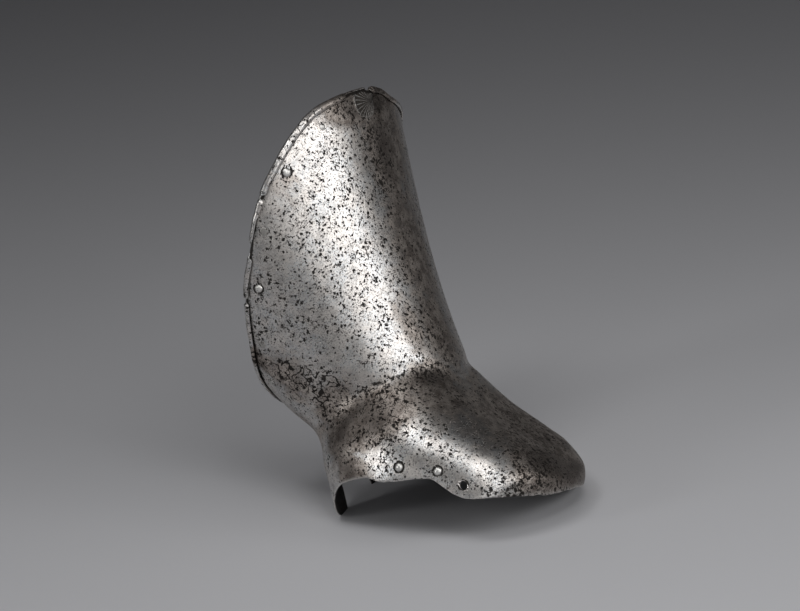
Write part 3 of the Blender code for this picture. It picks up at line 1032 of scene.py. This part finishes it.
def sheet_steel():
    steel = Steel("worn_steel")
    inside = steel.mask("inside")
    strokes = steel.stretched(STROKE_AXIS, STROKE_LENGTH)

    # Pits: pepper, specks, small ones, and large ones, all crowded together in the same places.
    clusters = steel.band(steel.cloud(size=11.0), low=0.38, high=0.62)
    placed = steel.scaled(steel.mask("pitting"), 0.65)
    crowd = steel.math("ADD", placed, steel.scaled(clusters, 0.45))
    dense = steel.band(steel.mask("pitting"), low=0.9, high=1.5)
    pepper_level = steel.less(steel.blend(crowd, *PEPPER_LEVELS), steel.scaled(dense, 0.03))
    pepper_cloud = steel.cloud(size=0.6, detail=3.0, roughness=0.6, place=strokes)
    pepper = steel.over(pepper_cloud, pepper_level, spread=0.07)
    specks = steel.pits(
        size=2.1,
        reach=steel.blend(crowd, *SPECK_REACH),
        shift=(0.23, 0.31, 0.13),
        raggedness=0.9,
    )
    small_level = steel.less(steel.blend(crowd, *SMALL_PIT_LEVELS), steel.scaled(dense, 0.035))
    small_cloud = steel.cloud(size=1.4, detail=4.0, roughness=0.6)
    small = steel.over(small_cloud, small_level, spread=0.035)
    large_place = steel.shifted((0.31, 0.17, 0.05))
    large_cloud = steel.cloud(size=3.0, detail=5.0, roughness=0.66, place=large_place)
    large = steel.over(large_cloud, steel.blend(crowd, *LARGE_PIT_LEVELS), spread=0.03)

    # Worm tracks: thin winding lines where a cloud of noise crosses its middle value.
    track_place = steel.shifted((0.7, 0.2, 0.4))
    track_cloud = steel.cloud(3.3, detail=1.0, roughness=0.4, place=track_place, distortion=0.5)
    off_middle = steel.math("ABSOLUTE", steel.less(track_cloud, NOISE_MIDDLE))
    track = steel.band(off_middle, *TRACK_BAND)
    worm_area = steel.over(steel.ragged("worms", size=4.0, share=0.6), low=0.55, spread=0.10)
    worms = steel.math("MULTIPLY", track, worm_area)

    # Dark oxide: the crease, the gap behind the roll, the rings round the rivets, the hollow. In
    # the crease and in the gap behind the roll it is partly painted shade.
    crease = steel.over(steel.ragged("crease", size=1.4, share=1.8), low=0.62, spread=0.45)
    # Grime and painted shade in the gap behind the roll
    rim_grime_and_shade = steel.over(steel.ragged("rim_grime_and_shade", size=2.2, share=0.7), low=0.45, spread=0.30)
    rings = steel.over(steel.ragged("ring", size=0.9, share=0.6), low=0.52, spread=0.14)
    fan = steel.mask("fan")
    pits = steel.math("MULTIPLY", steel.most(small, large, specks), steel.less(1.0, fan))
    blots = steel.most(pits, worms, crease)
    hollow = steel.over(steel.ragged("hollow", size=1.1, share=2.0), low=0.35, spread=0.8)
    faint = (steel.scaled(hollow, 0.82), steel.scaled(pepper, 0.6))
    dark = steel.most(blots, rim_grime_and_shade, rings, *faint)

    # Tarnish: warm brown haze in patches, and deeper brown in the middle of them.
    tarnish = steel.ragged("tarnish", size=5.0, share=0.55)
    haze = steel.over(tarnish, low=0.25, spread=0.6)
    deep = steel.over(tarnish, low=1.0, spread=0.7)

    # Clean steel: warm and cool patches, polishing strokes, and old stains.
    patch_place = steel.shifted((0.5, 0.5, 0.5))
    patch_cloud = steel.cloud(size=8.0, detail=3.0, roughness=0.55, place=patch_place)
    patches = steel.band(patch_cloud, low=0.40, high=0.60)
    grain = steel.cloud(size=0.5, detail=3.0, roughness=0.6, place=strokes)
    stain_place = steel.shifted((0.2, 0.6, 0.1))
    stain_cloud = steel.cloud(size=4.0, detail=5.0, roughness=0.65, place=stain_place)
    stain = steel.band(stain_cloud, low=0.46, high=0.64)
    clean = steel.mix(patches, WARM_STEEL, COOL_STEEL)
    clean = steel.mix(steel.band(grain, low=0.35, high=0.62), clean, POLISH_STROKE)
    clean = steel.mix(steel.scaled(stain, 0.45), clean, STAINED_STEEL)

    mottle = steel.band(steel.cloud(size=5.0, detail=6.0, roughness=0.72), low=0.36, high=0.62)
    brown = steel.mix(mottle, DARK_BROWN, LIGHT_BROWN)
    brown = steel.mix(steel.scaled(deep, 0.75), brown, DEEPEST_BROWN)
    colour = steel.mix(steel.scaled(haze, 0.92), clean, brown)

    # The fan, the bright edges and roll, the painted shade of the inside, and the dark oxide over
    # all of it
    stroke_wave = steel.math("SINE", steel.scaled(steel.mask("fan_turn"), FAN_STROKES_IN_TURN))
    fan_strokes = steel.math("MULTIPLY", fan, steel.over(stroke_wave, low=0.3, spread=0.6))
    colour = steel.mix(steel.scaled(fan, 0.8), colour, FAN_GROUND)
    bright = steel.most(fan_strokes, steel.mask("fan_outline"), steel.mask("edge"))
    colour = steel.mix(steel.scaled(bright, 0.7), colour, WORN_BRIGHT)
    colour = steel.mix(steel.scaled(steel.mask("roll"), 0.75), colour, ROLL_BRIGHT)
    # Painted shade: the inner face darkened towards black
    colour = steel.mix(steel.scaled(inside, 0.95), colour, INSIDE_PAINTED_SHADE)
    colour = steel.mix(steel.scaled(dark, 0.96), colour, OXIDE_BLACK)
    steel.feed(steel.shader.inputs["Base Color"], colour)

    # Roughness: steel's own, then that of tarnish, the inside and oxide. Oxide is less metallic.
    rough = steel.blend(grain, 0.26, 0.42)
    for finish, roughness in ((haze, 0.46), (inside, 0.6), (dark, 0.7)):
        rough = steel.blend(finish, rough, roughness)
    steel.feed(steel.shader.inputs["Roughness"], rough)
    steel.feed(steel.shader.inputs["Metallic"], steel.blend(dark, 1.0, 0.85))

    # Relief: pits sink, and old polishing has left strokes.
    normal = steel.bump(steel.scaled(blots, -1.0), depth=0.10)
    normal = steel.bump(steel.cloud(size=0.5, place=strokes), depth=0.03, normal=normal)
    normal = steel.bump(steel.cloud(size=2.4, detail=3.0), depth=0.05, normal=normal)
    normal = steel.bump(fan_strokes, depth=0.25, normal=normal)
    steel.feed(steel.shader.inputs["Normal"], normal)
    return steel.material


def rivet_steel():
    steel = Steel("rivet_steel")
    shine = steel.mask("shine")
    spot_level = steel.blend(shine, 0.52, 0.62)
    spots = steel.over(steel.cloud(size=0.8, detail=3.0, roughness=0.6), spot_level, spread=0.06)
    dull = steel.mix(steel.cloud(size=1.0, detail=3.0), *DULL_RIVET)
    bright = steel.mix(steel.cloud(size=1.5, detail=3.0), *BRIGHT_RIVET)
    colour = steel.mix(spots, steel.mix(shine, dull, bright), RIVET_SPOT)
    rough = steel.blend(steel.cloud(size=0.8, detail=3.0), 0.36, 0.5)
    steel.feed(steel.shader.inputs["Base Color"], colour)
    steel.feed(steel.shader.inputs["Roughness"], rough)
    steel.shader.inputs["Metallic"].default_value = 1.0
    hammered = steel.bump(steel.cloud(size=0.7, detail=3.0), depth=0.04)
    steel.feed(steel.shader.inputs["Normal"], hammered)
    return steel.material


def make_floor():
    bpy.ops.mesh.primitive_plane_add(size=FLOOR_SIZE, location=(0, 0, 0))
    floor = bpy.context.object
    floor.name = "floor"
    material = bpy.data.materials.new("floor_paper")
    material.use_nodes = True
    shader = material.node_tree.nodes["Principled BSDF"]
    shader.inputs["Base Color"].default_value = FLOOR_COLOUR
    shader.inputs["Roughness"].default_value = FLOOR_ROUGHNESS
    shader.inputs["Specular IOR Level"].default_value = FLOOR_SPECULAR
    floor.data.materials.append(material)


def direction(azimuth, elevation):
    """Azimuth 0 is towards -Y and 90 towards +X."""
    a, e = math.radians(azimuth), math.radians(elevation)
    return Vector((math.sin(a) * math.cos(e), -math.cos(a) * math.cos(e), math.sin(e)))


def make_lights():
    for name, azimuth, elevation, distance, width, height, power in SOFTBOXES:
        light = bpy.data.lights.new(name, "AREA")
        light.shape = "RECTANGLE"
        light.size = width
        light.size_y = height
        light.energy = power
        lamp = bpy.data.objects.new(name, light)
        toward = direction(azimuth, elevation)
        lamp.location = MIDDLE + toward * distance
        lamp.rotation_euler = toward.to_track_quat("Z", "Y").to_euler()
        bpy.context.scene.collection.objects.link(lamp)
    world = bpy.data.worlds.new("studio")
    world.use_nodes = True
    world.node_tree.nodes["Background"].inputs["Color"].default_value = WORLD_COLOUR
    bpy.context.scene.world = world


def make_camera():
    data = bpy.data.cameras.new("camera")
    data.lens = CAMERA_LENS
    data.sensor_width = CAMERA_SENSOR
    data.clip_end = CAMERA_CLIP
    camera = bpy.data.objects.new("camera", data)
    toward = direction(CAMERA_AZIMUTH, CAMERA_ELEVATION)
    place = Matrix.Translation(CAMERA_TARGET + toward * CAMERA_DISTANCE)
    aim = toward.to_track_quat("Z", "Y").to_matrix().to_4x4()
    roll = Matrix.Rotation(math.radians(-CAMERA_ROLL), 4, "Z")
    camera.matrix_world = place @ aim @ roll
    bpy.context.scene.collection.objects.link(camera)
    bpy.context.scene.camera = camera


def main():
    sheet, stance = make_sheet()
    cut_rust_hole(sheet, stance)
    sheet.data.materials.append(sheet_steel())
    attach(sheet, "root")
    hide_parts("plate")

    rivet_material = rivet_steel()
    for seed, (node, row) in enumerate(zip(rivet_nodes(), all_rivets())):
        rivet = make_rivet(node + "_head", row, seed, stance, rivet_material)
        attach(rivet, "root")
        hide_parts(node)

    make_floor()
    make_lights()
    make_camera()
    bpy.context.scene.view_settings.view_transform = "Standard"


main()
